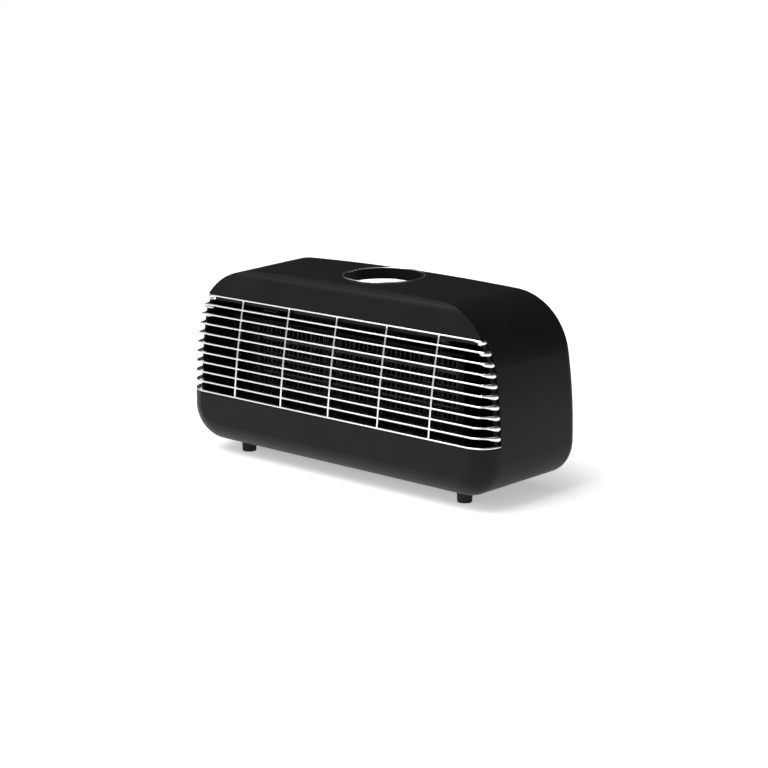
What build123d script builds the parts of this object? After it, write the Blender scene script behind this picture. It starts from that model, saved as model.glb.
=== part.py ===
"""Ceramic space heater: a low, wide table heater with a louvred chrome outlet.

Frame: millimetres, +Z up, front towards -Y.  The origin is the middle of the
footprint at floor level, so the four rubber feet stand on z = 0.
"""

from build123d import *
import math
import os

# ---- overall size -----------------------------------------------------------
HALF_WIDTH = 180.0        # widest half width, at the rear face
SEAM_HALF_WIDTH = 173.0   # half width where front shell and rear case meet
HEIGHT = 174.0            # floor to the crest of the crowned top
FRONT_Y = -60.0           # foremost plane of the front shell
REAR_Y = 61.0             # rear face
SEAM_Y = -39.0            # parting plane of the two shells
SEAM_GAP = 0.3            # shadow gap between the shells
BODY_BOTTOM = 12.0        # underside of the case above the floor
WALL = 2.5                # shell wall

# ---- outline seen from the front --------------------------------------------
WIDEST_Z = 50.0           # height at which the sides bulge most
SIDE_RADIUS = 420.0       # curvature of the bulging sides
CROWN_RADIUS = 3500.0     # curvature of the crowned top
TOP_CORNER = 58.0
BOTTOM_CORNER = 33.0
REAR_EDGE = 8.0           # rounding of the rear edge

# ---- front roundings and lean ------------------------------------------------
SIDE_ROUND = 23.0         # how far the sides turn in at the front
BASE_ROUND = 23.0         # how far the underside turns up at the front
LEAN_START_Z = 58.8
LEAN_END_Z = 146.2
LEAN_DEPTH = 13.8         # how far the face leans back over the grille
LEAN_SAG = 1.6            # hollow of the leaning face's curve
BROW_Y = -41.0            # where the leaning face would meet the top
BROW_RADIUS = 13.0
OVERSHOOT = 0.5           # cutting forms pass the faces that they trim by this

# ---- chrome louvre grille -----------------------------------------------------
BLADE_COUNT = 11
BLADE_PITCH = (LEAN_END_Z - LEAN_START_Z) / (BLADE_COUNT - 1)
BLADE_THICKNESS = 1.7
BLADE_DEPTH = 9.0
BAR_PITCH = 56.0
BAR_WIDTH = 1.7
BAR_DEPTH = 3.4
OPENING_MARGIN = 1.3      # shell opening beyond the outer blades
END_LAND = 3.3            # length of the slim blade ends beside the seam

# ---- carrying grip ------------------------------------------------------------
GRIP_Y = 17.5
GRIP_RADIUS = 35.5
GRIP_COLLAR = 8.0        # depth of the round collar
GRIP_FLOOR_Z = 134.0
GRIP_WALL = 2.0
GRIP_BACK_HALF = 70.0     # half width of the hand opening in the back
GRIP_BACK_TOP = 162.0

# ---- warm air path ------------------------------------------------------------
DUCT_HALF = 132.0
DUCT_FRONT_Y = -37.0
DUCT_BACK_Y = -6.5
DUCT_LOW_Z = 52.0
DUCT_HIGH_Z = 130.0
SHEET = 0.8
ELEMENT_Y = -14.0         # mid depth of the ceramic elements
ELEMENT_DEPTH = 11.0
ELEMENT_HALF = 114.0
ELEMENT_HEIGHT = 28.0
ELEMENT_LOW_Z = 62.0
ELEMENT_GAP = 5.0
FIN_PITCH = 5.2

# ---- cross-flow blower ---------------------------------------------------------
ROTOR_Y = 20.5
ROTOR_Z = 84.0
ROTOR_RADIUS = 26.0
ROTOR_HALF = 100.0
SHAFT_RADIUS = 2.5
SHAFT_CLEARANCE = 0.04
END_PLATE_X = 106.0
MOTOR_X = -137.0
MOTOR_HALF = 27.0         # half side of the lamination stack
MOTOR_SCREW = 22.0        # motor screws sit this far from the shaft
SCREW_RADIUS = 1.5
SCREW_HOLE = 1.6
HEAD_RADIUS = 3.0

# ---- controls on the back -------------------------------------------------------
PANEL_X = 136.0
PANEL_HALF_X = 21.0
PANEL_LOW_Z = 52.0
PANEL_HIGH_Z = 140.0
PANEL_FLOOR_Y = 47.0
DIAL_RADIUS = 17.0
THERMOSTAT_Z = 118.0
SELECTOR_Z = 74.0
SPINDLE_RADIUS = 3.0

# ---- rear intake, feet, tilt switch ----------------------------------------------
INTAKE_HALF = 104.0
INTAKE_LOW_Z = 36.0
INTAKE_HIGH_Z = 126.0
INTAKE_FLANGE = 2.0
FOOT_FRONT_X = 126.0
FOOT_REAR_X = 100.0
FOOT_RADIUS = 7.0
FOOT_FRONT_Y = -26.5
FOOT_REAR_Y = 44.0
PLUNGER_X = 70.0
PLUNGER_Y = 46.0
PLUNGER_RADIUS = 3.5
PLUNGER_GAP = 0.4
PLUNGER_HEAD_Z = 20.0
CASE_SCREW_X = 50.0
CASE_SCREW_Z = 26.0
CASE_BOSS = 4.6
CASE_WELL_Y = -17.5       # depth of the rear screw wells
GLAND_X = -138.0
GLAND_Z = 32.0
GLAND_RADIUS = 5.2

OUT = "parts"


# ---- small helpers ----------------------------------------------------------------
def block(x, y, z):
    """Box from three (low, high) pairs."""
    size = [high - low for low, high in (x, y, z)]
    middle = [(high + low) / 2 for low, high in (x, y, z)]
    return Pos(*middle) * Box(*size)


def rod(axis, centre, radius, low, high):
    """Cylinder along X, Y or Z; centre holds the two other coordinates."""
    middle = (low + high) / 2
    turn = {"X": Rot(0, 90, 0), "Y": Rot(90, 0, 0), "Z": Rot(0, 0, 0)}[axis]
    place = {
        "X": (middle, centre[0], centre[1]),
        "Y": (centre[0], middle, centre[1]),
        "Z": (centre[0], centre[1], middle),
    }[axis]
    return Pos(*place) * turn * Cylinder(radius, high - low)


def tube(axis, centre, outer, inner, low, high):
    """Hollow cylinder, cut cleanly through both ends."""
    return rod(axis, centre, outer, low, high) - rod(axis, centre, inner, low - 1, high + 1)


def group(shapes):
    """Separate solids kept together as one node."""
    solids = [solid for shape in shapes for solid in shape.solids()]
    return Compound(children=solids)


def save(name, shape):
    """Write one sub-part to its own STEP file."""
    shape.label = name
    export_step(shape, os.path.join(OUT, name + ".step"))


# ---- the body's outer form ----------------------------------------------------------
def outline(y, half_width, side_inset, base_inset, top_inset):
    """Front-view outline of the body at depth y, as a planar face."""
    def side(z):
        return half_width - (z - WIDEST_Z) ** 2 / (2 * SIDE_RADIUS) - side_inset

    low = BODY_BOTTOM + base_inset
    high = HEIGHT - half_width ** 2 / (2 * CROWN_RADIUS) - top_inset
    middle = (low + high) / 2
    right_low = (side(low), y, low)
    right_high = (side(high), y, high)
    left_low = (-side(low), y, low)
    left_high = (-side(high), y, high)
    edges = [
        Edge.make_line(left_low, right_low),
        Edge.make_three_point_arc(right_low, (side(middle), y, middle), right_high),
        Edge.make_three_point_arc(right_high, (0, y, HEIGHT - top_inset), left_high),
        Edge.make_three_point_arc(left_high, (-side(middle), y, middle), left_low),
    ]
    face = Face(Wire(edges))
    lower = [v for v in face.vertices() if v.Z < middle]
    face = face.fillet_2d(BOTTOM_CORNER - (side_inset + base_inset) / 2, lower)
    upper = [v for v in face.vertices() if v.Z > high - 1 and abs(v.X) > side(high) - 1]
    return face.fillet_2d(TOP_CORNER - (side_inset + top_inset) / 2, upper)


def front_pillow(inset):
    """Front half: the sides and the underside turn in on quarter ellipses."""
    depth = SEAM_Y - FRONT_Y - inset + OVERSHOOT
    sections = []
    for step in range(6):
        angle = math.radians(90 * step / 5)
        turn = 1 - math.cos(angle)
        y = SEAM_Y - depth * math.sin(angle)
        side = inset + (SIDE_ROUND - inset / 2) * turn
        base = inset + (BASE_ROUND - inset / 2) * turn
        sections.append(outline(y, SEAM_HALF_WIDTH, side, base, inset))
    return loft(sections)


def rear_block(inset):
    """Rear half: a slight flare from the seam to the rounded rear edge."""
    near = outline(SEAM_Y, SEAM_HALF_WIDTH, inset, inset, inset)
    far = outline(REAR_Y - inset, HALF_WIDTH, inset, inset, inset)
    solid = loft([near, far], ruled=True)
    rear_edges = solid.faces().sort_by(Axis.Y)[-1].edges()
    return fillet(rear_edges, REAR_EDGE - inset)


def lean_profile(inset):
    """Everything behind the leaning face and under its rounded brow."""
    face_y = FRONT_Y + inset
    top = HEIGHT - inset + OVERSHOOT / 10
    lean_low = (0, face_y, LEAN_START_Z)
    lean_high = (0, face_y + LEAN_DEPTH, LEAN_END_Z)
    lean_middle = (0, face_y + LEAN_DEPTH / 2 - LEAN_SAG, (LEAN_START_Z + LEAN_END_Z) / 2)
    brow = (0, BROW_Y + inset, top)
    far = REAR_Y + 20
    edges = [
        Edge.make_line((0, face_y, 0), lean_low),
        Edge.make_three_point_arc(lean_low, lean_middle, lean_high),
        Edge.make_line(lean_high, brow),
        Edge.make_line(brow, (0, far, top)),
        Edge.make_line((0, far, top), (0, far, 0)),
        Edge.make_line((0, far, 0), (0, face_y, 0)),
    ]
    face = Face(Wire(edges))
    corner = [v for v in face.vertices() if abs(v.Y - brow[1]) < 0.01 and v.Z > top - 0.01]
    face = face.fillet_2d(BROW_RADIUS - inset / 2, corner)
    return extrude(face, amount=HALF_WIDTH + 20, dir=(1, 0, 0), both=True)


def front_form(inset):
    """Solid front half of the body, shrunk by the inset."""
    return front_pillow(inset) & lean_profile(inset)


def rear_form(inset):
    """Solid rear half of the body, shrunk by the inset."""
    return rear_block(inset) & lean_profile(inset)


def between(y_low, y_high):
    """A slab of space between two depths, wider than the body."""
    return block((-220, 220), (y_low, y_high), (-5, 200))


def at_heights(z_low, z_high):
    """A slab of space between two heights, deeper than the body."""
    return block((-220, 220), (-90, 90), (z_low, z_high))


def screw_boss(x, y_low, y_high):
    """Round boss for a case screw, standing on a rib from the case floor."""
    boss = rod("Y", (x, CASE_SCREW_Z), CASE_BOSS, y_low, y_high)
    rib_end = min(y_high, REAR_Y - REAR_EDGE)
    return boss + block((x - 1.2, x + 1.2), (y_low, rib_end), (BODY_BOTTOM + 1, CASE_SCREW_Z - 3.8))


# ---- shells and outlet grille ---------------------------------------------------------
def make_front_shell():
    """Thin front moulding, open across the face between its brow and its chin."""
    shell = front_form(0) - front_form(WALL)
    shell = shell & between(-100, SEAM_Y - SEAM_GAP)
    low = LEAN_START_Z - OPENING_MARGIN
    high = LEAN_END_Z + OPENING_MARGIN
    shell -= block((-220, 220), (-100, 0), (low, high))
    rim = front_form(WALL - 0.1) - front_form(WALL + 2.4)
    rim = rim & between(SEAM_Y - END_LAND, SEAM_Y - SEAM_GAP)
    shell += rim
    for x in (-CASE_SCREW_X, CASE_SCREW_X):
        shell += screw_boss(x, SEAM_Y - 9, SEAM_Y - SEAM_GAP) & front_form(1)
        shell -= rod("Y", (x, CASE_SCREW_Z), SCREW_RADIUS, SEAM_Y - 8, SEAM_Y + 1)
    return shell


def make_louvre_grille():
    """Eleven blades that run round both front corners, tied by five upright bars."""
    solid = front_form(0) & between(-100, SEAM_Y - SEAM_GAP)
    core = front_form(BLADE_DEPTH)
    ends = front_form(WALL - 0.2) & between(SEAM_Y - END_LAND - 0.2, SEAM_Y)
    band = solid - core - ends
    grille = []
    for index in range(BLADE_COUNT):
        z = LEAN_START_Z + index * BLADE_PITCH
        grille.append(band & at_heights(z - BLADE_THICKNESS / 2, z + BLADE_THICKNESS / 2))
    strip = (front_form(0.2) - front_form(0.2 + BAR_DEPTH)) & at_heights(LEAN_START_Z, LEAN_END_Z)
    for index in (-2, -1, 0, 1, 2):
        x = index * BAR_PITCH
        bar = strip & block((x - BAR_WIDTH / 2, x + BAR_WIDTH / 2), (-90, -40), (0, 200))
        grille.append(bar)
    fused = grille[0]
    for piece in grille[1:]:
        fused += piece
    return fused


def make_rear_case():
    """Deep rear moulding with the grip hole, the hand opening and the control recess."""
    case = (rear_form(0) - rear_form(WALL)) & between(SEAM_Y, 100)
    case -= rod("Z", (0, GRIP_Y), GRIP_RADIUS + GRIP_WALL, HEIGHT - 10, HEIGHT + 10)
    half = GRIP_BACK_HALF
    case -= block((-half, half), (40, 80), (GRIP_FLOOR_Z + GRIP_WALL, GRIP_BACK_TOP))
    case -= block((-INTAKE_HALF, INTAKE_HALF), (40, 80), (INTAKE_LOW_Z, INTAKE_HIGH_Z))
    panel_x = (PANEL_X - PANEL_HALF_X, PANEL_X + PANEL_HALF_X)
    panel_z = (PANEL_LOW_Z, PANEL_HIGH_Z)
    wider_x = (panel_x[0] - 2, panel_x[1] + 2)
    wider_z = (panel_z[0] - 2, panel_z[1] + 2)
    case += block(wider_x, (PANEL_FLOOR_Y + 2.2, REAR_Y - 1), wider_z)
    case -= block(panel_x, (PANEL_FLOOR_Y, REAR_Y + 5), panel_z)
    for x in (-CASE_SCREW_X, CASE_SCREW_X):
        centre = (x, CASE_SCREW_Z)
        case += screw_boss(x, SEAM_Y, REAR_Y - 1)
        case -= rod("Y", centre, SCREW_HOLE, SEAM_Y - 1, REAR_Y + 5)
        case -= rod("Y", centre, HEAD_RADIUS + 0.3, CASE_WELL_Y, REAR_Y + 5)
    for side in (-1, 1):
        web = side * END_PLATE_X
        case += block((web - 1.5, web + 1.5), (0, 45), (BODY_BOTTOM + 1, DUCT_LOW_Z - 6))
        post = side * (DUCT_HALF - 14)
        case += block((post - 3, post + 3), (-28, -14), (BODY_BOTTOM + 1, DUCT_LOW_Z))
    for x, y in foot_places().values():
        case -= rod("Z", (x, y), SCREW_RADIUS, 0, 20)
    case -= rod("Z", (PLUNGER_X, PLUNGER_Y), PLUNGER_RADIUS + PLUNGER_GAP, 0, 20)
    case -= rod("Y", (GLAND_X, GLAND_Z), GLAND_RADIUS, REAR_Y - 10, REAR_Y + 10)
    return case


# ---- carrying grip ------------------------------------------------------------------------
def make_grip_ring():
    """Bright trim ring round the grip hole."""
    low = HEIGHT - 0.1
    return tube("Z", (0, GRIP_Y), GRIP_RADIUS + 1.8, GRIP_RADIUS, low, low + 0.8)


def make_grip_liner():
    """Round collar opening into a pocket whose back is the hand opening."""
    half = GRIP_BACK_HALF + 2 * GRIP_WALL
    collar_low = HEIGHT - GRIP_COLLAR
    front_y = GRIP_Y - GRIP_RADIUS - 2 * GRIP_WALL
    back_y = REAR_Y - WALL
    outer = block((-half, half), (front_y, back_y), (GRIP_FLOOR_Z, collar_low))
    inner = block(
        (GRIP_WALL - half, half - GRIP_WALL),
        (front_y + GRIP_WALL, back_y + 1),
        (GRIP_FLOOR_Z + GRIP_WALL, collar_low - GRIP_WALL),
    )
    collar = rod("Z", (0, GRIP_Y), GRIP_RADIUS + GRIP_WALL - 0.1, collar_low - 1, HEIGHT - 0.1)
    liner = outer - inner + collar
    return liner - rod("Z", (0, GRIP_Y), GRIP_RADIUS, collar_low - 3, HEIGHT + 1)


# ---- warm air path -----------------------------------------------------------------------
def make_outlet_duct():
    """Folded sheet tunnel from the elements to the grille."""
    x = (-DUCT_HALF, DUCT_HALF)
    y = (DUCT_FRONT_Y, DUCT_BACK_Y)
    outer = block(x, y, (DUCT_LOW_Z, DUCT_HIGH_Z))
    inner = block(
        (x[0] + SHEET, x[1] - SHEET),
        (y[0] - 1, y[1] + 1),
        (DUCT_LOW_Z + SHEET, DUCT_HIGH_Z - SHEET),
    )
    return outer - inner


def make_heater_frame():
    """Moulded frame that carries the two ceramic elements in the duct."""
    depth = (ELEMENT_Y - ELEMENT_DEPTH / 2 - 1.5, DUCT_BACK_Y - 0.5)
    margin = SHEET + 0.2
    frame = block(
        (-DUCT_HALF + margin, DUCT_HALF - margin),
        depth,
        (DUCT_LOW_Z + margin, DUCT_HIGH_Z - margin),
    )
    for row in (0, 1):
        low = ELEMENT_LOW_Z + row * (ELEMENT_HEIGHT + ELEMENT_GAP)
        window = (low - 0.1, low + ELEMENT_HEIGHT + 0.1)
        frame -= block((-ELEMENT_HALF - 0.1, ELEMENT_HALF + 0.1), (-90, 90), window)
    return frame


def make_element(row):
    """Ceramic heater: a bar of ceramic stones between two combs of cooling fins."""
    low = ELEMENT_LOW_Z + row * (ELEMENT_HEIGHT + ELEMENT_GAP)
    high = low + ELEMENT_HEIGHT
    middle = (low + high) / 2
    y = (ELEMENT_Y - ELEMENT_DEPTH / 2, ELEMENT_Y + ELEMENT_DEPTH / 2)
    ends = ELEMENT_HALF
    element = block((-ends, ends), y, (middle - 2.2, middle + 2.2))
    element += block((-ends, ends), y, (low, low + 1.0))
    element += block((-ends, ends), y, (high - 1.0, high))
    count = int(2 * (ends - 2) / FIN_PITCH)
    for index in range(count + 1):
        x = -ends + 2 + index * 2 * (ends - 2) / count
        element += block((x - 0.5, x + 0.5), y, (low + 0.5, high - 0.5))
    return element


def make_element_guard():
    """Fine wire guard in front of the elements, welded into a rim."""
    y = ELEMENT_Y - ELEMENT_DEPTH / 2 - 4.5
    margin = SHEET + 0.4
    x = (-DUCT_HALF + margin, DUCT_HALF - margin)
    z = (DUCT_LOW_Z + margin, DUCT_HIGH_Z - margin)
    guard = block(x, (y - 0.6, y + 0.6), z)
    guard -= block((x[0] + 3, x[1] - 3), (-90, 90), (z[0] + 3, z[1] - 3))
    wires = 16
    for index in range(1, wires):
        place = x[0] + index * (x[1] - x[0]) / wires
        guard += rod("Z", (place, y), 0.5, z[0] + 1, z[1] - 1)
    return guard


# ---- cross-flow blower ----------------------------------------------------------------------
def make_rotor_wheel():
    """Drum of curved blades between two end discs."""
    centre = (ROTOR_Y, ROTOR_Z)
    wheel = rod("X", centre, ROTOR_RADIUS, -ROTOR_HALF, -ROTOR_HALF + 1.6)
    wheel += rod("X", centre, ROTOR_RADIUS, ROTOR_HALF - 1.6, ROTOR_HALF)
    wheel += tube("X", centre, ROTOR_RADIUS, ROTOR_RADIUS - 7, -1, 1)
    blades = 18
    blade = Pos(0, ROTOR_RADIUS - 3.6, 0) * Rot(30, 0, 0) * Box(2 * ROTOR_HALF - 1, 6.4, 0.9)
    for index in range(blades):
        wheel += Pos(0, *centre) * Rot(360 / blades * index, 0, 0) * blade
    wheel += rod("X", centre, 6, -ROTOR_HALF - 3, -ROTOR_HALF + 1)
    wheel += rod("X", centre, 6, ROTOR_HALF - 1, ROTOR_HALF + 3)
    for low, high in ((-ROTOR_HALF - 4, -ROTOR_HALF + 3), (ROTOR_HALF - 3, ROTOR_HALF + 4)):
        wheel -= rod("X", centre, SHAFT_RADIUS, low, high)
    return wheel


def make_rotor_shaft():
    """Steel shaft through the wheel and the motor."""
    return rod("X", (ROTOR_Y, ROTOR_Z), SHAFT_RADIUS, MOTOR_X - 20, END_PLATE_X + 8)


def make_motor_rotor():
    """Squirrel-cage rotor pressed on the shaft."""
    return tube("X", (ROTOR_Y, ROTOR_Z), 12.0, SHAFT_RADIUS, MOTOR_X - 10, MOTOR_X + 10)


def make_blower_scroll():
    """Curved guide behind and below the rotor, running out into a flat floor."""
    centre = (ROTOR_Y, ROTOR_Z)
    half = END_PLATE_X - 0.8
    guide = tube("X", centre, ROTOR_RADIUS + 6, ROTOR_RADIUS + 4.5, -half, half)
    guide = guide & block((-half, half), (ROTOR_Y, ROTOR_Y + 60), (0, ROTOR_Z))
    low = ROTOR_Z - ROTOR_RADIUS - 6
    floor = block((-half, half), (DUCT_BACK_Y + 0.3, ROTOR_Y + 0.5), (low, low + 1.5))
    return guide + floor


def make_blower_tongue():
    """Upper guide edge that parts intake air from outlet air."""
    half = END_PLATE_X - 0.8
    top = DUCT_HIGH_Z
    tongue = block((-half, half), (DUCT_BACK_Y + 0.3, ROTOR_Y + 2), (top - 1.5, top))
    lip_z = ROTOR_Z + ROTOR_RADIUS + 4
    tongue += block((-half, half), (ROTOR_Y + 0.5, ROTOR_Y + 2), (lip_z, top))
    return tongue


def make_end_plate(side):
    """Sheet end plate of the blower with a seat for the shaft bush."""
    x = side * END_PLATE_X
    y = (DUCT_BACK_Y + 0.3, ROTOR_Y + ROTOR_RADIUS + 3)
    plate = block((x - 0.75, x + 0.75), y, (DUCT_LOW_Z - 6, DUCT_HIGH_Z))
    if side < 0:
        for offset in (-MOTOR_SCREW, MOTOR_SCREW):
            plate -= rod("X", (ROTOR_Y + offset, ROTOR_Z), SCREW_HOLE, x - 2, x + 2)
    return plate - rod("X", (ROTOR_Y, ROTOR_Z), 6.0, x - 2, x + 2)


def make_bush(x):
    """Sintered bush: a running fit on the shaft."""
    centre = (ROTOR_Y, ROTOR_Z)
    return tube("X", centre, 5.9, SHAFT_RADIUS + SHAFT_CLEARANCE, x - 2.5, x + 2.5)


def make_motor_stator():
    """Lamination stack round the rotor, with its coil limb below."""
    x = (MOTOR_X - 9, MOTOR_X + 9)
    y = (ROTOR_Y - MOTOR_HALF, ROTOR_Y + MOTOR_HALF)
    z = (ROTOR_Z - 42, ROTOR_Z + 19)
    stack = block(x, y, z)
    stack -= rod("X", (ROTOR_Y, ROTOR_Z), 12.4, x[0] - 1, x[1] + 1)
    stack -= block((x[0] - 1, x[1] + 1), (y[0] + 12, y[1] - 12), (z[0] + 10, ROTOR_Z - 17))
    for offset in (-MOTOR_SCREW, MOTOR_SCREW):
        stack -= rod("X", (ROTOR_Y + offset, ROTOR_Z), SCREW_HOLE, x[0] - 1, x[1] + 1)
    return stack


def make_motor_coil():
    """Wound bobbin on the lower limb of the stack."""
    x = (MOTOR_X - 15, MOTOR_X + 15)
    z = ROTOR_Z - 37
    y = (ROTOR_Y - 14.5, ROTOR_Y + 14.5)
    coil = block(x, y, (z - 10.5, z + 9.5))
    coil = fillet(coil.edges().filter_by(Axis.Y), 4)
    return coil - block((MOTOR_X - 9.1, MOTOR_X + 9.1), (y[0] - 1, y[1] + 1), (z - 5.1, z + 5.1))


def make_motor_bracket(side):
    """Pressed bracket that carries one motor bush across the stack."""
    x = MOTOR_X + side * 16
    plate = block((x - 0.75, x + 0.75), (ROTOR_Y - 24, ROTOR_Y + 24), (ROTOR_Z - 8, ROTOR_Z + 8))
    face = MOTOR_X + side * 9.1
    for y in (ROTOR_Y - MOTOR_SCREW, ROTOR_Y + MOTOR_SCREW):
        spacer = rod("X", (y, ROTOR_Z), 3.0, min(x, face), max(x, face))
        plate += spacer
        plate -= rod("X", (y, ROTOR_Z), SCREW_HOLE, min(x, face) - 2, max(x, face) + 2)
    return plate - rod("X", (ROTOR_Y, ROTOR_Z), 6.0, x - 2, x + 2)


def make_motor_spacers():
    """Two sleeves between the inner motor bracket and the blower's end plate."""
    low = MOTOR_X + 16.8
    high = -END_PLATE_X - 0.8
    places = (ROTOR_Y - MOTOR_SCREW, ROTOR_Y + MOTOR_SCREW)
    return group([tube("X", (y, ROTOR_Z), 3.0, SCREW_HOLE, low, high) for y in places])


def make_motor_screws():
    """Two long screws that clamp the motor to the blower."""
    screws = []
    for y in (ROTOR_Y - MOTOR_SCREW, ROTOR_Y + MOTOR_SCREW):
        head = MOTOR_X - 16.8
        screw = rod("X", (y, ROTOR_Z), SCREW_RADIUS, head, -END_PLATE_X + 3)
        screws.append(screw + rod("X", (y, ROTOR_Z), HEAD_RADIUS, head - 2.2, head))
    return group(screws)


# ---- rear intake -------------------------------------------------------------------------------
def make_rear_grille():
    """Slotted intake grille that fills the rear window from inside."""
    half = INTAKE_HALF - 0.2
    low = INTAKE_LOW_Z + 0.2
    high = INTAKE_HIGH_Z - 0.2
    back = REAR_Y - WALL
    grille = block((-half, half), (back - 0.5, REAR_Y - 0.5), (low, high))
    flange = INTAKE_FLANGE
    grille += block(
        (-half - flange, half + flange),
        (back - 1.5, back - 0.1),
        (low - flange, high + flange),
    )
    rows = 11
    columns = 5
    row_pitch = (high - low) / rows
    column_pitch = 2 * half / columns
    for row in range(rows):
        z = low + (row + 0.5) * row_pitch
        for column in range(columns):
            x = -half + (column + 0.5) * column_pitch
            slot = Pos(x, back, z) * Box(column_pitch - 4, 20, row_pitch - 3.4)
            grille -= slot
    return grille


def make_intake_filter():
    """Thin foam pad behind the intake grille."""
    back = REAR_Y - WALL - 1.7
    return block((-INTAKE_HALF, INTAKE_HALF), (back - 2, back), (INTAKE_LOW_Z, INTAKE_HIGH_Z))


# ---- controls ------------------------------------------------------------------------------------
def make_control_plate():
    """Floor of the control recess, drilled for two spindles and the lamp."""
    x = (PANEL_X - PANEL_HALF_X - 2, PANEL_X + PANEL_HALF_X + 2)
    z = (PANEL_LOW_Z - 2, PANEL_HIGH_Z + 2)
    plate = block(x, (PANEL_FLOOR_Y, PANEL_FLOOR_Y + 2.2), z)
    for height in (THERMOSTAT_Z, SELECTOR_Z):
        plate -= rod("Y", (PANEL_X, height), SPINDLE_RADIUS + 0.3, 30, 70)
    lamp_z = (THERMOSTAT_Z + SELECTOR_Z) / 2
    return plate - rod("Y", (PANEL_X, lamp_z), 2.6, 30, 70)


def make_switch_body(height, depth):
    """Body of a rotary control behind the plate, bored for its spindle."""
    y = (PANEL_FLOOR_Y - depth, PANEL_FLOOR_Y)
    body = block((PANEL_X - 12, PANEL_X + 12), y, (height - 11, height + 11))
    bore = SPINDLE_RADIUS + 0.05
    return body - rod("Y", (PANEL_X, height), bore, PANEL_FLOOR_Y - 9, PANEL_FLOOR_Y + 1)


def make_spindle(height):
    """Round spindle between a rotary control and its dial."""
    return rod("Y", (PANEL_X, height), SPINDLE_RADIUS, PANEL_FLOOR_Y - 8.5, REAR_Y - 4)


def make_dial(height):
    """Finger dial with a raised grip bar across its face."""
    low = PANEL_FLOOR_Y + 3.0
    high = REAR_Y - 1.0
    dial = rod("Y", (PANEL_X, height), DIAL_RADIUS, low, low + 4)
    dial += block((PANEL_X - 3.5, PANEL_X + 3.5), (low + 3, high), (height - 15, height + 15))
    dial += rod("Y", (PANEL_X, height), 9, low + 3, high - 2)
    return dial - rod("Y", (PANEL_X, height), SPINDLE_RADIUS, low - 1, REAR_Y - 4)


def make_pilot_lamp():
    """Small neon lamp with a domed lens."""
    height = (THERMOSTAT_Z + SELECTOR_Z) / 2
    front = PANEL_FLOOR_Y + 2.2
    lamp = rod("Y", (PANEL_X, height), 2.5, PANEL_FLOOR_Y - 9, front)
    return lamp + rod("Y", (PANEL_X, height), 3.6, front, front + 1.6)


# ---- safety parts and wiring -------------------------------------------------------------------------
def make_tilt_switch():
    """Switch on two legs above the plunger."""
    x = (PLUNGER_X - 12, PLUNGER_X + 12)
    y = (PLUNGER_Y - 8, PLUNGER_Y + 7)
    floor = BODY_BOTTOM + WALL
    body = block(x, y, (floor, 48))
    return body - block((x[0] + 2.5, x[1] - 2.5), (0, 80), (floor - 1, 34))


def make_tilt_plunger():
    """Plunger held up by the surface that the heater stands on."""
    centre = (PLUNGER_X, PLUNGER_Y)
    plunger = rod("Z", centre, PLUNGER_RADIUS, 0.3, PLUNGER_HEAD_Z + 1)
    return plunger + rod("Z", centre, 5.5, PLUNGER_HEAD_Z, PLUNGER_HEAD_Z + 3)


def make_tilt_spring():
    """Coil spring that pushes the plunger down."""
    low = PLUNGER_HEAD_Z + 3.6
    high = 33.4
    turns = 4
    path = Helix((high - low) / turns, high - low, 3.0)
    wire = sweep(Plane(path @ 0, z_dir=path % 0) * Circle(0.4), path, is_frenet=True)
    return Pos(PLUNGER_X, PLUNGER_Y, low) * wire


def make_thermal_cutout():
    """Bimetal cut-out disc on the roof of the duct."""
    cutout = rod("Z", (100, -22), 8.0, DUCT_HIGH_Z, DUCT_HIGH_Z + 4)
    cutout += rod("Z", (100, -22), 6.0, DUCT_HIGH_Z + 3, DUCT_HIGH_Z + 9)
    for x in (94, 106):
        cutout += block((x - 0.4, x + 0.4), (-25, -19), (DUCT_HIGH_Z + 3, DUCT_HIGH_Z + 12))
    return cutout


def make_thermal_fuse():
    """One-shot fuse in its clip on the roof of the duct."""
    z = DUCT_HIGH_Z + 3.5
    fuse = rod("X", (-22, z), 2.2, -108, -92)
    fuse += block((-104, -96), (-24, -20), (DUCT_HIGH_Z, DUCT_HIGH_Z + 2))
    return fuse


def make_terminal_block():
    """Three-way terminal block on the case floor beside the cord inlet."""
    floor = BODY_BOTTOM + WALL + 0.1
    body = block((-137, -109), (22, 36), (floor, floor + 12))
    for x in (-132, -123, -114):
        body -= rod("Y", (x, floor + 5), 2.2, 20, 27)
        body -= rod("Z", (x, 30), 2.4, floor + 8, floor + 14)
    return body


def make_cord_gland():
    """Moulded bush that lines the cord inlet."""
    centre = (GLAND_X, GLAND_Z)
    gland = rod("Y", centre, GLAND_RADIUS - 0.1, REAR_Y - WALL - 6, REAR_Y)
    gland += rod("Y", centre, GLAND_RADIUS + 2, REAR_Y - WALL - 6, REAR_Y - WALL)
    return gland - rod("Y", centre, 3.5, REAR_Y - 20, REAR_Y + 5)


def wire(points, radius, bend):
    """Insulated lead: straight runs joined by round bends."""
    path = FilletPolyline(*points, radius=bend)
    section = Plane(path @ 0, z_dir=path % 0) * Circle(radius)
    return sweep(section, path)


def make_motor_leads():
    """Twin lead from the terminal block up to the motor coil."""
    leads = []
    for x in (-125.2, -123.0):
        points = [(x, 36.2, 20), (x, 42, 20), (x, 42, 46), (x, ROTOR_Y + 14.7, 46)]
        leads.append(wire(points, 0.9, 2.5))
    return group(leads)


def make_control_leads():
    """Two short leads between the selector and the thermostat."""
    low = SELECTOR_Z + 11.2
    high = THERMOSTAT_Z - 11.2
    y = PANEL_FLOOR_Y - 14
    return group([rod("Z", (x, y), 0.9, low, high) for x in (PANEL_X - 6, PANEL_X + 6)])


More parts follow.
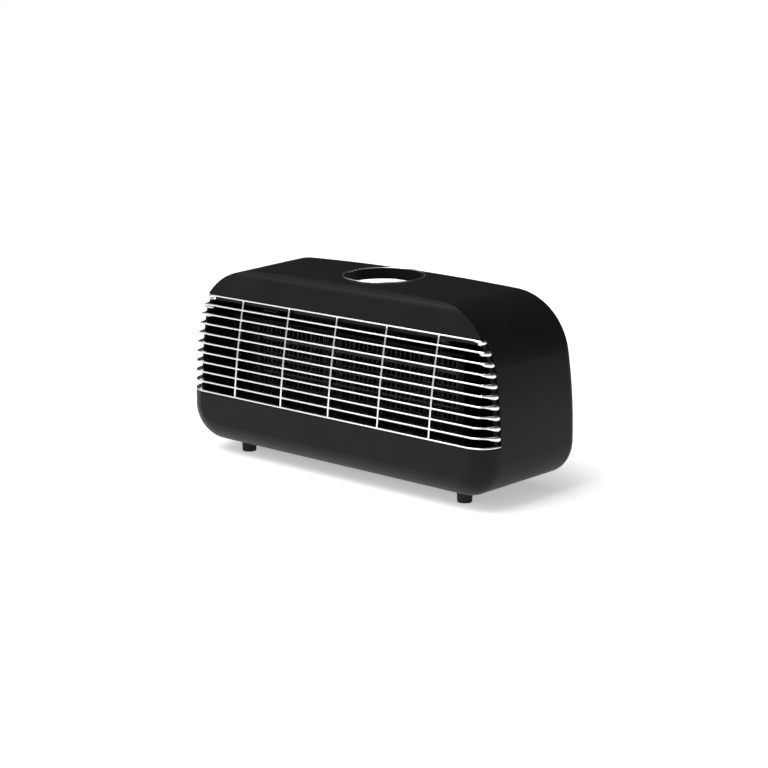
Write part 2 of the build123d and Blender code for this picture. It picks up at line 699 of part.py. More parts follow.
def make_cutout_lead():
    """Lead from the thermostat over to the cut-out on the duct."""
    roof = DUCT_HIGH_Z + 22
    y = PANEL_FLOOR_Y - 14
    points = [
        (106, -22, DUCT_HIGH_Z + 12.2),
        (106, -22, roof),
        (PANEL_X, -22, roof),
        (PANEL_X, y, roof),
        (PANEL_X, y, THERMOSTAT_Z + 11.2),
    ]
    return wire(points, 0.9, 4.0)


# ---- feet and screws ------------------------------------------------------------------------------------
def foot_places():
    """Node name and centre of each foot; the rear pair stands closer together."""
    return {
        "foot_front_left": (-FOOT_FRONT_X, FOOT_FRONT_Y),
        "foot_front_right": (FOOT_FRONT_X, FOOT_FRONT_Y),
        "foot_rear_left": (-FOOT_REAR_X, FOOT_REAR_Y),
        "foot_rear_right": (FOOT_REAR_X, FOOT_REAR_Y),
    }


def make_foot(x, y):
    """Tapered rubber foot, recessed from below for its screw."""
    foot = Pos(x, y, BODY_BOTTOM / 2) * Cone(FOOT_RADIUS - 0.6, FOOT_RADIUS, BODY_BOTTOM)
    foot -= rod("Z", (x, y), HEAD_RADIUS + 0.5, -1, 6)
    return foot - rod("Z", (x, y), SCREW_HOLE, -1, 20)


def make_foot_screws():
    """Screws that hold the four feet."""
    screws = []
    for x, y in foot_places().values():
        screw = rod("Z", (x, y), SCREW_RADIUS, 5, BODY_BOTTOM + WALL + 3)
        screws.append(screw + rod("Z", (x, y), HEAD_RADIUS, 3.8, 6))
    return group(screws)


def make_case_screws():
    """Screws at the bottom of the rear wells, drawing the shells together."""
    screws = []
    for x in (-CASE_SCREW_X, CASE_SCREW_X):
        centre = (x, CASE_SCREW_Z)
        screw = rod("Y", centre, SCREW_RADIUS, SEAM_Y - 7, CASE_WELL_Y + 1)
        screws.append(screw + rod("Y", centre, HEAD_RADIUS, CASE_WELL_Y, CASE_WELL_Y + 2.4))
    return group(screws)


def main():
    os.makedirs("parts", exist_ok=True)
    save("front_shell", make_front_shell())
    save("louvre_grille", make_louvre_grille())
    save("rear_case", make_rear_case())
    save("grip_ring", make_grip_ring())
    save("grip_liner", make_grip_liner())
    save("outlet_duct", make_outlet_duct())
    save("heater_frame", make_heater_frame())
    save("lower_element", make_element(0))
    save("upper_element", make_element(1))
    save("element_guard", make_element_guard())
    save("rotor_wheel", make_rotor_wheel())
    save("rotor_shaft", make_rotor_shaft())
    save("motor_rotor", make_motor_rotor())
    save("blower_scroll", make_blower_scroll())
    save("blower_tongue", make_blower_tongue())
    save("blower_end_left", make_end_plate(-1))
    save("blower_end_right", make_end_plate(1))
    save("blower_bush", make_bush(END_PLATE_X))
    save("motor_bush_outer", make_bush(MOTOR_X - 16))
    save("motor_bush_inner", make_bush(MOTOR_X + 16))
    save("motor_stator", make_motor_stator())
    save("motor_coil", make_motor_coil())
    save("motor_bracket_outer", make_motor_bracket(-1))
    save("motor_bracket_inner", make_motor_bracket(1))
    save("motor_spacers", make_motor_spacers())
    save("motor_screws", make_motor_screws())
    save("rear_grille", make_rear_grille())
    save("intake_filter", make_intake_filter())
    save("control_plate", make_control_plate())
    save("thermostat_body", make_switch_body(THERMOSTAT_Z, 22))
    save("selector_body", make_switch_body(SELECTOR_Z, 18))
    save("thermostat_spindle", make_spindle(THERMOSTAT_Z))
    save("selector_spindle", make_spindle(SELECTOR_Z))
    save("thermostat_dial", make_dial(THERMOSTAT_Z))
    save("selector_dial", make_dial(SELECTOR_Z))
    save("pilot_lamp", make_pilot_lamp())
    save("tilt_switch", make_tilt_switch())
    save("tilt_plunger", make_tilt_plunger())
    save("tilt_spring", make_tilt_spring())
    save("thermal_cutout", make_thermal_cutout())
    save("thermal_fuse", make_thermal_fuse())
    save("terminal_block", make_terminal_block())
    save("cord_gland", make_cord_gland())
    save("motor_leads", make_motor_leads())
    save("control_leads", make_control_leads())
    save("cutout_lead", make_cutout_lead())
    for name, (x, y) in foot_places().items():
        save(name, make_foot(x, y))
    save("foot_screws", make_foot_screws())
    save("case_screws", make_case_screws())


if __name__ == "__main__":
    main()
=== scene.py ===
"""Looks of the ceramic space heater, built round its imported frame.

Every length is in metres, in the heater's own frame: +Z up, front towards -Y.
New pieces are surfaces worked out with numpy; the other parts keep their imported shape.
"""

import math

import bpy
import numpy as np
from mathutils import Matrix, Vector


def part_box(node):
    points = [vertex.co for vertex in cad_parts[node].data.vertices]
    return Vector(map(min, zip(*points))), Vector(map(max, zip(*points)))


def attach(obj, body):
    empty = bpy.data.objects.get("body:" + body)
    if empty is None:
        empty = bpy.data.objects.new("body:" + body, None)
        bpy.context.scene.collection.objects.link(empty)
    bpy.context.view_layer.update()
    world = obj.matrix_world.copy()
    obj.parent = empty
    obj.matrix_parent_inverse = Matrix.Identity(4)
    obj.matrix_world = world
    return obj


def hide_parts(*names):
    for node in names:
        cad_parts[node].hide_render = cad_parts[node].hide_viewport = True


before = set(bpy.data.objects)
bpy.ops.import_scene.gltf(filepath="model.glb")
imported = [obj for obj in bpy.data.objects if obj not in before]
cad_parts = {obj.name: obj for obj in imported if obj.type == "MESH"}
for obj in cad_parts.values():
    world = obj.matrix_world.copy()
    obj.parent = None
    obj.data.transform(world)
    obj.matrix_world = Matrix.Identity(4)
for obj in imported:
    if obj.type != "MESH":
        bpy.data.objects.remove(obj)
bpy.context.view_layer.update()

MM = 0.001

# ---- places taken from the frame ------------------------------------------------
SHELL_LOW, SHELL_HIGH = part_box("front_shell")
CASE_LOW, CASE_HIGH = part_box("rear_case")
GRILLE_LOW, GRILLE_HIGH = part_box("louvre_grille")
RING_LOW, RING_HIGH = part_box("grip_ring")
PLATE_FACE_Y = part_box("control_plate")[1].y
DIAL_LOW, DIAL_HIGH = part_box("thermostat_dial")
SELECTOR_LOW, SELECTOR_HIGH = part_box("selector_dial")

# ---- form of the case (the same driving sizes as the frame's shells) --------------
SEAM_HALF_WIDTH = 173 * MM
HEIGHT = CASE_HIGH.z
BODY_BOTTOM = CASE_LOW.z
FRONT_Y = SHELL_LOW.y
SEAM_Y = CASE_LOW.y
SEAM_GAP = SEAM_Y - SHELL_HIGH.y
WIDEST_Z = 50 * MM
SIDE_RADIUS = 420 * MM
CROWN_RADIUS = 3500 * MM
TOP_CORNER = 58 * MM
BOTTOM_CORNER = 33 * MM
SIDE_ROUND = 23 * MM
BASE_ROUND = 23 * MM
ROUND_DEPTH = SEAM_Y - FRONT_Y + 0.5 * MM

# ---- spacing along the plan of the case ---------------------------------------------
CORNER_POINTS = 60
EVEN_STEPS = 720
CORNER_END = 130
CORNER_STEP = 2
FACE_STEP = 20
EASE_POINTS = 13

# ---- louvre grille -----------------------------------------------------------------
BLADE_COUNT = 11
BLADE_THICKNESS = 1.7 * MM
BLADE_DEPTH = 9 * MM
BLADE_END_DEPTH = 2.3 * MM
LAND_LENGTH = 3.4 * MM
LAND_EASE = 2 * MM
LOBE_HEIGHT = 3.9 * MM
LOBE_LENGTH = 17 * MM
LOBE_FLAT = 2 * MM
NOSE_POINTS = 9
NOSE_SHARE = 0.85
BACK_CUT = 0.25 * MM
LEAN_START_Z = GRILLE_LOW.z + BLADE_THICKNESS / 2
LEAN_END_Z = GRILLE_HIGH.z - BLADE_THICKNESS / 2
LEAN_DEPTH = 13.8 * MM
LEAN_SAG = 1.6 * MM
BARS_EACH_SIDE = 2
BAR_PITCH = 56 * MM
BAR_WIDTH = 1.7 * MM
BAR_DEPTH = 3.4 * MM
BAR_SETBACK = 0.25 * MM
BAR_POINTS = 40

# ---- grip ring and dials --------------------------------------------------------------
GRIP_Y = (RING_LOW.y + RING_HIGH.y) / 2
RING_OUTER = RING_HIGH.x
RING_INNER = RING_OUTER - 1.8 * MM
RING_POINTS = 160
BEAD_POINTS = 9
BEAD_LIFT = 0.15 * MM
BEAD_RISE = 0.55 * MM
LIP_DROP = 1.2 * MM
LIP_WALL = 0.35 * MM
FLANGE_DROP = 0.1 * MM
DIAL_X = (DIAL_LOW.x + DIAL_HIGH.x) / 2
DIAL_RADIUS = (DIAL_HIGH.x - DIAL_LOW.x) / 2
THERMOSTAT_Z = (DIAL_LOW.z + DIAL_HIGH.z) / 2
SELECTOR_Z = (SELECTOR_LOW.z + SELECTOR_HIGH.z) / 2
STROKE_POINTS = 6
STROKE_HEIGHT = 0.12 * MM
SCALE_START = DIAL_RADIUS + 0.9 * MM
SCALE_END = 19.4 * MM
SCALE_LONG_END = 20.2 * MM
SCALE_WIDTH = 0.6 * MM
POINTER_START = 5 * MM
POINTER_END = 14 * MM
POINTER_WIDTH = 1.1 * MM


# ---- mesh helpers -----------------------------------------------------------------
def enclosed_volume(points, faces):
    """Signed volume inside a closed skin: the sum of the fans from the origin."""
    fans = [(face[0], face[k], face[k + 1]) for face in faces for k in range(1, len(face) - 1)]
    first, second, third = points[np.array(fans)].transpose(1, 0, 2)
    return np.sum(first * np.cross(second, third)) / 6


def outward(points, faces):
    """The same closed skin with its faces turned outwards."""
    if enclosed_volume(points, faces) < 0:
        faces = [face[::-1] for face in faces]
    return points, faces


def joined(parts):
    """One list of points and faces from several (points, faces) skins."""
    points, faces, start = [], [], 0
    for part_points, part_faces in parts:
        points.append(part_points)
        faces += [[start + corner for corner in face] for face in part_faces]
        start += len(part_points)
    return np.concatenate(points), faces


def piece(name, points, faces, body, slot, material, smooth=True):
    """Mesh object that rides on a body, with the material it is given; the slot is not used."""
    mesh = bpy.data.meshes.new(name)
    mesh.from_pydata(points.tolist(), [], faces)
    mesh.update()
    mesh.polygons.foreach_set("use_smooth", np.full(len(mesh.polygons), smooth))
    mesh.materials.append(material)
    made = bpy.data.objects.new(name, mesh)
    bpy.context.scene.collection.objects.link(made)
    if body:
        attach(made, body)
    return made


def grid_faces(rows, columns):
    """Quads of a grid stored row after row, closed round its columns."""
    r, c = np.meshgrid(np.arange(rows - 1), np.arange(columns), indexing="ij")
    r, c = r.ravel(), c.ravel()
    after = (c + 1) % columns
    here, above = r * columns, (r + 1) * columns
    return np.stack([here + c, here + after, above + after, above + c], 1).tolist()


def swept(path, inward, upward, reach, rise):
    """Closed profile carried along a path and capped at both ends.

    Each point is the path's point, plus its reach along the inward direction, plus its
    rise along the upward direction; reach and rise hold one row of the profile for each
    point of the path.
    """
    across = reach[:, :, None] * inward[:, None, :]
    along = rise[:, :, None] * upward[:, None, :]
    points = (path[:, None, :] + across + along).reshape(-1, 3)
    rows, columns = reach.shape
    faces = grid_faces(rows, columns)
    faces.append(list(range(columns))[::-1])
    faces.append(list(range((rows - 1) * columns, rows * columns)))
    return outward(points, faces)


def turned(profile, centre_x, centre_y, count):
    """Ring made by carrying a closed (radius, height) profile round an upright axis.

    x = centre + radius * cos(angle), y = centre + radius * sin(angle), z = height.
    """
    angle = np.linspace(0, 2 * np.pi, count, endpoint=False)
    radius, height = profile[:, 0], profile[:, 1]
    x = centre_x + np.outer(np.cos(angle), radius)
    y = centre_y + np.outer(np.sin(angle), radius)
    z = np.broadcast_to(height, x.shape)
    points = np.stack([x, y, z], -1).reshape(-1, 3)
    columns = len(profile)
    faces = grid_faces(count, columns)
    last = (count - 1) * columns
    c = np.arange(columns)
    after = (c + 1) % columns
    faces += np.stack([last + c, last + after, after, c], 1).tolist()
    return outward(points, faces)


# ---- the case's form ------------------------------------------------------------------
def circle_through(a, b, c):
    """Centre and radius of the circle through three (x, z) points."""
    ax, az, bx, bz = b[0] - a[0], b[1] - a[1], c[0] - a[0], c[1] - a[1]
    twice = 2 * (ax * bz - az * bx)
    first, second = ax * ax + az * az, bx * bx + bz * bz
    x = (bz * first - az * second) / twice
    z = (ax * second - bx * first) / twice
    return a[0] + x, a[1] + z, np.hypot(x, z)


def half_width_at(z, turn):
    """Half width of the case at height z, on the outline ring of that turn.

    A ring has a bulging side, a circle through three points of a parabola, which meets
    the crowned top and the flat base in round corners.  A corner's centre is where the
    side and the top, each moved inwards by the corner's radius, cross.  Turn 0 is the
    ring at the seam; turn 1 is the smallest ring, at the front.
    """
    low = BODY_BOTTOM + BASE_ROUND * turn
    high = HEIGHT - SEAM_HALF_WIDTH ** 2 / (2 * CROWN_RADIUS)
    middle = (low + high) / 2

    def side(height):
        bulge = (height - WIDEST_Z) ** 2 / (2 * SIDE_RADIUS)
        return SEAM_HALF_WIDTH - bulge - SIDE_ROUND * turn

    side_x, side_z, side_r = circle_through(
        (side(low), low), (side(middle), middle), (side(high), high))
    sag = HEIGHT - high
    crown_r = (side(high) ** 2 + sag ** 2) / (2 * sag)
    crown_z = HEIGHT - crown_r

    upper_r = TOP_CORNER - SIDE_ROUND * turn / 2
    gap = np.hypot(side_x, crown_z - side_z)
    ux, uz = -side_x / gap, (crown_z - side_z) / gap
    along = ((side_r - upper_r) ** 2 - (crown_r - upper_r) ** 2 + gap ** 2) / (2 * gap)
    beside = np.sqrt((side_r - upper_r) ** 2 - along ** 2)
    upper_x = side_x + along * ux - beside * uz
    upper_z = side_z + along * uz + beside * ux
    upper_meets = side_z + (upper_z - side_z) * side_r / (side_r - upper_r)

    lower_r = BOTTOM_CORNER - (SIDE_ROUND + BASE_ROUND) * turn / 2
    lower_z = low + lower_r
    lower_x = side_x + np.sqrt((side_r - lower_r) ** 2 - (lower_z - side_z) ** 2)
    lower_meets = side_z + (lower_z - side_z) * side_r / (side_r - lower_r)

    on_side = side_x + np.sqrt(side_r ** 2 - (z - side_z) ** 2)
    on_upper = upper_x + np.sqrt(np.maximum(upper_r ** 2 - (z - upper_z) ** 2, 0))
    on_lower = lower_x + np.sqrt(np.maximum(lower_r ** 2 - (z - lower_z) ** 2, 0))
    return np.where(z > upper_meets, on_upper, np.where(z < lower_meets, on_lower, on_side))


def face_depth(z):
    """Depth y of the leaning front face at height z: upright below, then a slack arc."""
    low = (FRONT_Y, LEAN_START_Z)
    middle = (FRONT_Y + LEAN_DEPTH / 2 - LEAN_SAG, (LEAN_START_Z + LEAN_END_Z) / 2)
    high = (FRONT_Y + LEAN_DEPTH, LEAN_END_Z)
    centre_y, centre_z, radius = circle_through(low, middle, high)
    arc = centre_y - np.sqrt(radius ** 2 - (z - centre_z) ** 2)
    return np.where(z < LEAN_START_Z, FRONT_Y, arc)


def plan_path(z):
    """Plan of the case at height z, from seam to seam round the front.

    Straight across the leaning face, then round each corner on a quarter ellipse back to
    the seam.  The corner between them is eased by a weighted running mean along the path.
    The points kept are close together at the corners and far apart across the face.
    """
    front = float(face_depth(np.array(z)))
    last = math.asin((SEAM_Y - front) / ROUND_DEPTH)
    first = math.asin(SEAM_GAP / ROUND_DEPTH)
    angle = np.linspace(first, last, CORNER_POINTS)
    x = half_width_at(z, 1 - np.cos(angle))
    y = SEAM_Y - ROUND_DEPTH * np.sin(angle)
    x = np.concatenate([x, -x[::-1]])
    y = np.concatenate([y, y[::-1]])
    travel = np.concatenate([[0], np.cumsum(np.hypot(np.diff(x), np.diff(y)))])
    even = np.linspace(0, travel[-1], EVEN_STEPS + 1)
    x, y = np.interp(even, travel, x), np.interp(even, travel, y)
    weight = np.hanning(EASE_POINTS) / np.hanning(EASE_POINTS).sum()
    margin = EASE_POINTS // 2
    for values in (x, y):
        values[margin:-margin] = np.convolve(values, weight, "valid")
    far_corner = EVEN_STEPS - CORNER_END
    keep = np.unique(np.concatenate([
        np.arange(0, CORNER_END, CORNER_STEP),
        np.arange(CORNER_END, far_corner + 1, FACE_STEP),
        np.arange(far_corner, EVEN_STEPS + 1, CORNER_STEP)]))
    return np.stack([x[keep], y[keep], np.full(len(keep), z)], 1)


def rounded_section(depth, top, bottom):
    """Reach and rise of a bar's section at each point of its path.

    The nose is half an ellipse between the bottom and the top height, as deep as half the
    bar's height or a share of its depth, the sides are flat and the back corners are cut.
    """
    middle, half = (top + bottom) / 2, (top - bottom) / 2
    nose_depth = np.minimum(half, NOSE_SHARE * depth)
    angle = np.linspace(-np.pi / 2, np.pi / 2, NOSE_POINTS)
    nose_reach = nose_depth[:, None] * (1 - np.cos(angle))
    nose_rise = middle[:, None] + half[:, None] * np.sin(angle)
    back_reach = depth[:, None] - BACK_CUT * np.array([1, 0, 0, 1])
    back_rise = (middle[:, None] + half[:, None] * np.array([1, 1, -1, -1])
                 + BACK_CUT * np.array([0, -1, 1, 0]))
    reach = np.concatenate([nose_reach, back_reach], 1)
    rise = np.concatenate([nose_rise, back_rise], 1)
    return reach, rise


def eased(value):
    """Smooth step from 0 to 1: three times the square less twice the cube."""
    value = np.clip(value, 0, 1)
    return value * value * (3 - 2 * value)


def blade(z, lobe):
    """One louvre blade: the rounded section carried along the case's plan at height z.

    Its depth shrinks to a slim land over the last few millimetres beside each seam, where
    its underside swells downwards by the lobe's height.
    """
    path = plan_path(z)
    run = np.gradient(path, axis=0)
    run /= np.linalg.norm(run, axis=1)[:, None]
    inward = np.stack([run[:, 1], -run[:, 0], np.zeros(len(run))], 1)
    if inward[len(run) // 2, 1] < 0:
        inward = -inward
    travel = np.concatenate([[0], np.cumsum(np.linalg.norm(np.diff(path, axis=0), axis=1))])
    from_end = np.minimum(travel, travel[-1] - travel)
    past_land = eased((from_end - LAND_LENGTH) / LAND_EASE)
    depth = BLADE_END_DEPTH + (BLADE_DEPTH - BLADE_END_DEPTH) * past_land
    top = np.full(len(path), BLADE_THICKNESS / 2)
    bottom = -top - lobe * eased((LOBE_LENGTH - from_end) / (LOBE_LENGTH - LOBE_FLAT))
    upward = np.tile([0.0, 0.0, 1.0], (len(path), 1))
    return swept(path, inward, upward, *rounded_section(depth, top, bottom))


def upright_bar(x):
    """One tie bar: a rounded strip carried up the leaning face at that x."""
    z = np.linspace(LEAN_START_Z, LEAN_END_Z, BAR_POINTS)
    path = np.stack([np.full(BAR_POINTS, x), face_depth(z) + BAR_SETBACK, z], 1)
    run = np.gradient(path, axis=0)
    run /= np.linalg.norm(run, axis=1)[:, None]
    inward = np.stack([np.zeros(BAR_POINTS), run[:, 2], -run[:, 1]], 1)
    upward = np.tile([1.0, 0.0, 0.0], (BAR_POINTS, 1))
    half = np.full(BAR_POINTS, BAR_WIDTH / 2)
    depth = np.full(BAR_POINTS, BAR_DEPTH)
    return swept(path, inward, upward, *rounded_section(depth, half, -half))


def grille_skin():
    """Eleven blades and five tie bars; only the lowest blade has no lobes."""
    heights = np.linspace(LEAN_START_Z, LEAN_END_Z, BLADE_COUNT)
    parts = [blade(z, LOBE_HEIGHT if index else 0.0) for index, z in enumerate(heights)]
    places = range(-BARS_EACH_SIDE, BARS_EACH_SIDE + 1)
    parts += [upright_bar(index * BAR_PITCH) for index in places]
    return joined(parts)


def ring_skin():
    """Trim ring of the grip hole: a low bead whose inner lip turns down into the hole.

    The bead's top is half an ellipse, and the lip and the flange under it are straight.
    The whole ring sinks towards its left and right by the crown's drop, x squared over
    twice the crown's radius.
    """
    base = RING_LOW.z
    middle, half = (RING_OUTER + RING_INNER) / 2, (RING_OUTER - RING_INNER) / 2
    lip_back = RING_INNER + LIP_WALL
    angle = np.linspace(0, np.pi, BEAD_POINTS)
    bead = np.stack([middle + half * np.cos(angle),
                     base + BEAD_LIFT + BEAD_RISE * np.sin(angle)], 1)
    lip = np.array([[RING_INNER, base - LIP_DROP], [lip_back, base - LIP_DROP],
                    [lip_back, base - FLANGE_DROP], [RING_OUTER, base - FLANGE_DROP]])
    points, faces = turned(np.concatenate([bead, lip]), 0.0, GRIP_Y, RING_POINTS)
    points[:, 2] -= points[:, 0] ** 2 / (2 * CROWN_RADIUS)
    return points, faces


def printed_stroke(x, z, angle, first, last, width, base_y):
    """One printed stroke on a face that looks backwards, as a low rounded ridge.

    The ridge runs outwards from (x, z) between two radii, at an angle from straight up,
    positive towards -X; its section is a low trapezium with eased shoulders.
    """
    outwards = np.array([-math.sin(angle), 0.0, math.cos(angle)])
    across = np.array([math.cos(angle), 0.0, math.sin(angle)])
    middle = np.array([x, base_y, z])
    path = middle + np.linspace(first, last, STROKE_POINTS)[:, None] * outwards
    rows = (STROKE_POINTS, 1)
    reach = np.tile([0.0, 0.7, 1.0, 1.0, 0.7, 0.0], rows) * STROKE_HEIGHT
    rise = np.tile([-0.5, -0.5, -0.3, 0.3, 0.5, 0.5], rows) * width
    return swept(path, np.tile([0.0, 1.0, 0.0], rows), np.tile(across, rows), reach, rise)


def scale_strokes(x, z, count, swing):
    """Scale round a dial: even strokes over its swing, the first and last ones longer."""
    parts = []
    for index, angle in enumerate(np.linspace(0, swing, count)):
        last = SCALE_LONG_END if index in (0, count - 1) else SCALE_END
        parts.append(printed_stroke(x, z, -angle, SCALE_START, last, SCALE_WIDTH, PLATE_FACE_Y))
    return joined(parts)


# ---- surface effects shared by the materials ------------------------------------------
def add(tree, kind, **settings):
    """New node with its properties set."""
    node = tree.nodes.new(kind)
    for name, value in settings.items():
        setattr(node, name, value)
    return node


def math_node(tree, operation, first, second):
    """Math node fed by sockets or plain numbers."""
    node = add(tree, "ShaderNodeMath", operation=operation)
    for index, value in enumerate((first, second)):
        if isinstance(value, (int, float)):
            node.inputs[index].default_value = value
        else:
            tree.links.new(value, node.inputs[index])
    return node.outputs[0]


def weighted_sum(tree, first, first_share, second, second_share):
    """First value times its share, plus second value times its share."""
    return math_node(tree, "ADD", math_node(tree, "MULTIPLY", first, first_share),
                     math_node(tree, "MULTIPLY", second, second_share))


def effect(name, inputs, outputs):
    """Empty node group; inputs and outputs give each socket's name and start value."""
    tree = bpy.data.node_groups.new(name, "ShaderNodeTree")
    tree.interface.new_socket("Vector", in_out="INPUT", socket_type="NodeSocketVector")
    for label, value in inputs.items():
        made = tree.interface.new_socket(label, in_out="INPUT", socket_type="NodeSocketFloat")
        made.default_value = value
    for label in outputs:
        tree.interface.new_socket(label, in_out="OUTPUT", socket_type="NodeSocketFloat")
    return tree, add(tree, "NodeGroupInput"), add(tree, "NodeGroupOutput")


def noise(tree, vector, scale, detail=2.0, roughness=0.5):
    """Noise value of a vector; the scale is a number or a socket."""
    node = add(tree, "ShaderNodeTexNoise")
    tree.links.new(vector, node.inputs["Vector"])
    node.inputs["Detail"].default_value = detail
    node.inputs["Roughness"].default_value = roughness
    if isinstance(scale, (int, float)):
        node.inputs["Scale"].default_value = scale
    else:
        tree.links.new(scale, node.inputs["Scale"])
    return node.outputs["Fac"]


def ramped(tree, value, low, high):
    """Value moved so that low gives 0 and high gives 1, held between them."""
    node = add(tree, "ShaderNodeMapRange", clamp=True)
    tree.links.new(value, node.inputs["Value"])
    node.inputs["From Min"].default_value = low
    node.inputs["From Max"].default_value = high
    return node.outputs["Result"]


def make_moulded_grain():
    """Fine leather-like grain of a mould's spark-eroded face, with slow tone changes."""
    tree, given, result = effect(
        "moulded grain", {"Grain Scale": 1500.0, "Tone Scale": 14.0}, ("Height", "Tone"))
    fine = noise(tree, given.outputs["Vector"], given.outputs["Grain Scale"], 3.0, 0.6)
    cells = add(tree, "ShaderNodeTexVoronoi", feature="SMOOTH_F1")
    tree.links.new(given.outputs["Vector"], cells.inputs["Vector"])
    tree.links.new(given.outputs["Grain Scale"], cells.inputs["Scale"])
    height = weighted_sum(tree, fine, 0.6, cells.outputs["Distance"], 0.5)
    tree.links.new(height, result.inputs["Height"])
    tone = noise(tree, given.outputs["Vector"], given.outputs["Tone Scale"], 4.0, 0.55)
    tree.links.new(ramped(tree, tone, 0.3, 0.7), result.inputs["Tone"])
    return tree


def make_brushed_lines():
    """Long fine lines left by rolling or turning; the vector is stretched before it."""
    tree, given, result = effect("brushed lines", {"Line Scale": 900.0}, ("Height", "Tone"))
    lines = noise(tree, given.outputs["Vector"], given.outputs["Line Scale"], 2.0, 0.7)
    tree.links.new(lines, result.inputs["Height"])
    tone = noise(tree, given.outputs["Vector"], 40.0, 3.0, 0.5)
    tree.links.new(ramped(tree, tone, 0.25, 0.75), result.inputs["Tone"])
    return tree


def make_settled_dust():
    """Dust mask: broken specks and a thin film on faces that look upwards."""
    tree, given, result = effect("settled dust", {"Amount": 0.3, "Speck Scale": 700.0}, ("Mask",))
    facing = add(tree, "ShaderNodeNewGeometry")
    split = add(tree, "ShaderNodeSeparateXYZ")
    tree.links.new(facing.outputs["Normal"], split.inputs[0])
    up = ramped(tree, split.outputs["Z"], 0.35, 0.98)
    film = ramped(tree, noise(tree, given.outputs["Vector"], 22.0, 4.0, 0.6), 0.35, 0.8)
    grit = noise(tree, given.outputs["Vector"], given.outputs["Speck Scale"], 2.0, 0.5)
    specks = ramped(tree, grit, 0.62, 0.75)
    both = weighted_sum(tree, film, 0.6, specks, 0.5)
    on_top = math_node(tree, "MULTIPLY", both, up)
    mask = math_node(tree, "MULTIPLY", on_top, given.outputs["Amount"])
    tree.links.new(mask, result.inputs["Mask"])
    return tree


def make_handling_marks():
    """Smudge mask: wide soft patches crossed by faint hairline scratches."""
    tree, given, result = effect("handling marks", {"Amount": 0.5, "Patch Scale": 30.0}, ("Mask",))
    smears = noise(tree, given.outputs["Vector"], given.outputs["Patch Scale"], 5.0, 0.65)
    patches = ramped(tree, smears, 0.4, 0.75)
    stretch = add(tree, "ShaderNodeMapping")
    tree.links.new(given.outputs["Vector"], stretch.inputs["Vector"])
    stretch.inputs["Rotation"].default_value = (0.3, 0.5, 0.7)
    stretch.inputs["Scale"].default_value = (1.0, 30.0, 30.0)
    hair = ramped(tree, noise(tree, stretch.outputs["Vector"], 40.0, 1.0, 0.5), 0.68, 0.74)
    both = weighted_sum(tree, patches, 0.8, hair, 0.4)
    mask = math_node(tree, "MULTIPLY", both, given.outputs["Amount"])
    tree.links.new(mask, result.inputs["Mask"])
    return tree


GRAIN = make_moulded_grain()
LINES = make_brushed_lines()
DUST = make_settled_dust()
MARKS = make_handling_marks()


# ---- materials ------------------------------------------------------------------------
def start_material(name, roughness, metallic=0.0, specular=0.5):
    """Material with a Principled shader and Object coordinates."""
    material = bpy.data.materials.new(name)
    material.use_nodes = True
    tree = material.node_tree
    shader = tree.nodes["Principled BSDF"]
    shader.inputs["Roughness"].default_value = roughness
    shader.inputs["Metallic"].default_value = metallic
    shader.inputs["Specular IOR Level"].default_value = specular
    place = add(tree, "ShaderNodeTexCoord").outputs["Object"]
    return material, tree, shader, place


def placed(tree, group, vector, **values):
    """A shared effect placed in a material with its own values."""
    node = add(tree, "ShaderNodeGroup", node_tree=group)
    tree.links.new(vector, node.inputs["Vector"])
    for label, value in values.items():
        node.inputs[label.replace("_", " ").title()].default_value = value
    return node


def blended(tree, mask, first, second):
    """Colour between two colours (or sockets) by a mask."""
    node = add(tree, "ShaderNodeMix", data_type="RGBA")
    tree.links.new(mask, node.inputs["Factor"])
    for label, value in (("A", first), ("B", second)):
        target = next(s for s in node.inputs if s.name == label and s.type == "RGBA")
        if isinstance(value, tuple):
            target.default_value = (*value, 1.0)
        else:
            tree.links.new(value, target)
    return next(s for s in node.outputs if s.type == "RGBA")


def raised(tree, shader, height, depth):
    """Bump of that depth in metres on the shader's normal."""
    bump = add(tree, "ShaderNodeBump")
    bump.inputs["Strength"].default_value = 1.0
    bump.inputs["Distance"].default_value = depth
    tree.links.new(height, bump.inputs["Height"])
    tree.links.new(bump.outputs["Normal"], shader.inputs["Normal"])


def spread(tree, mask, low, high):
    """Roughness between two values by a mask."""
    node = add(tree, "ShaderNodeMapRange")
    tree.links.new(mask, node.inputs["Value"])
    node.inputs["To Min"].default_value = low
    node.inputs["To Max"].default_value = high
    return node.outputs["Result"]


def plastic(name, colour, roughness, grain, depth, dust, marks=0.4, specular=0.5):
    """Moulded plastic: grain, slow tone changes, handling marks and settled dust."""
    material, tree, shader, place = start_material(name, roughness, 0.0, specular)
    skin = placed(tree, GRAIN, place, grain_scale=grain)
    worn = placed(tree, MARKS, place, amount=marks)
    dusty = placed(tree, DUST, place, amount=dust)
    lighter = tuple(min(1.0, c * 1.35 + 0.001) for c in colour)
    toned = blended(tree, skin.outputs["Tone"], colour, lighter)
    grey = tuple(0.55 * c + 0.05 for c in colour)
    tree.links.new(blended(tree, dusty.outputs["Mask"], toned, grey), shader.inputs["Base Color"])
    dulled = spread(tree, worn.outputs["Mask"], roughness, min(1.0, roughness + 0.14))
    tree.links.new(dulled, shader.inputs["Roughness"])
    raised(tree, shader, skin.outputs["Height"], depth)
    return material


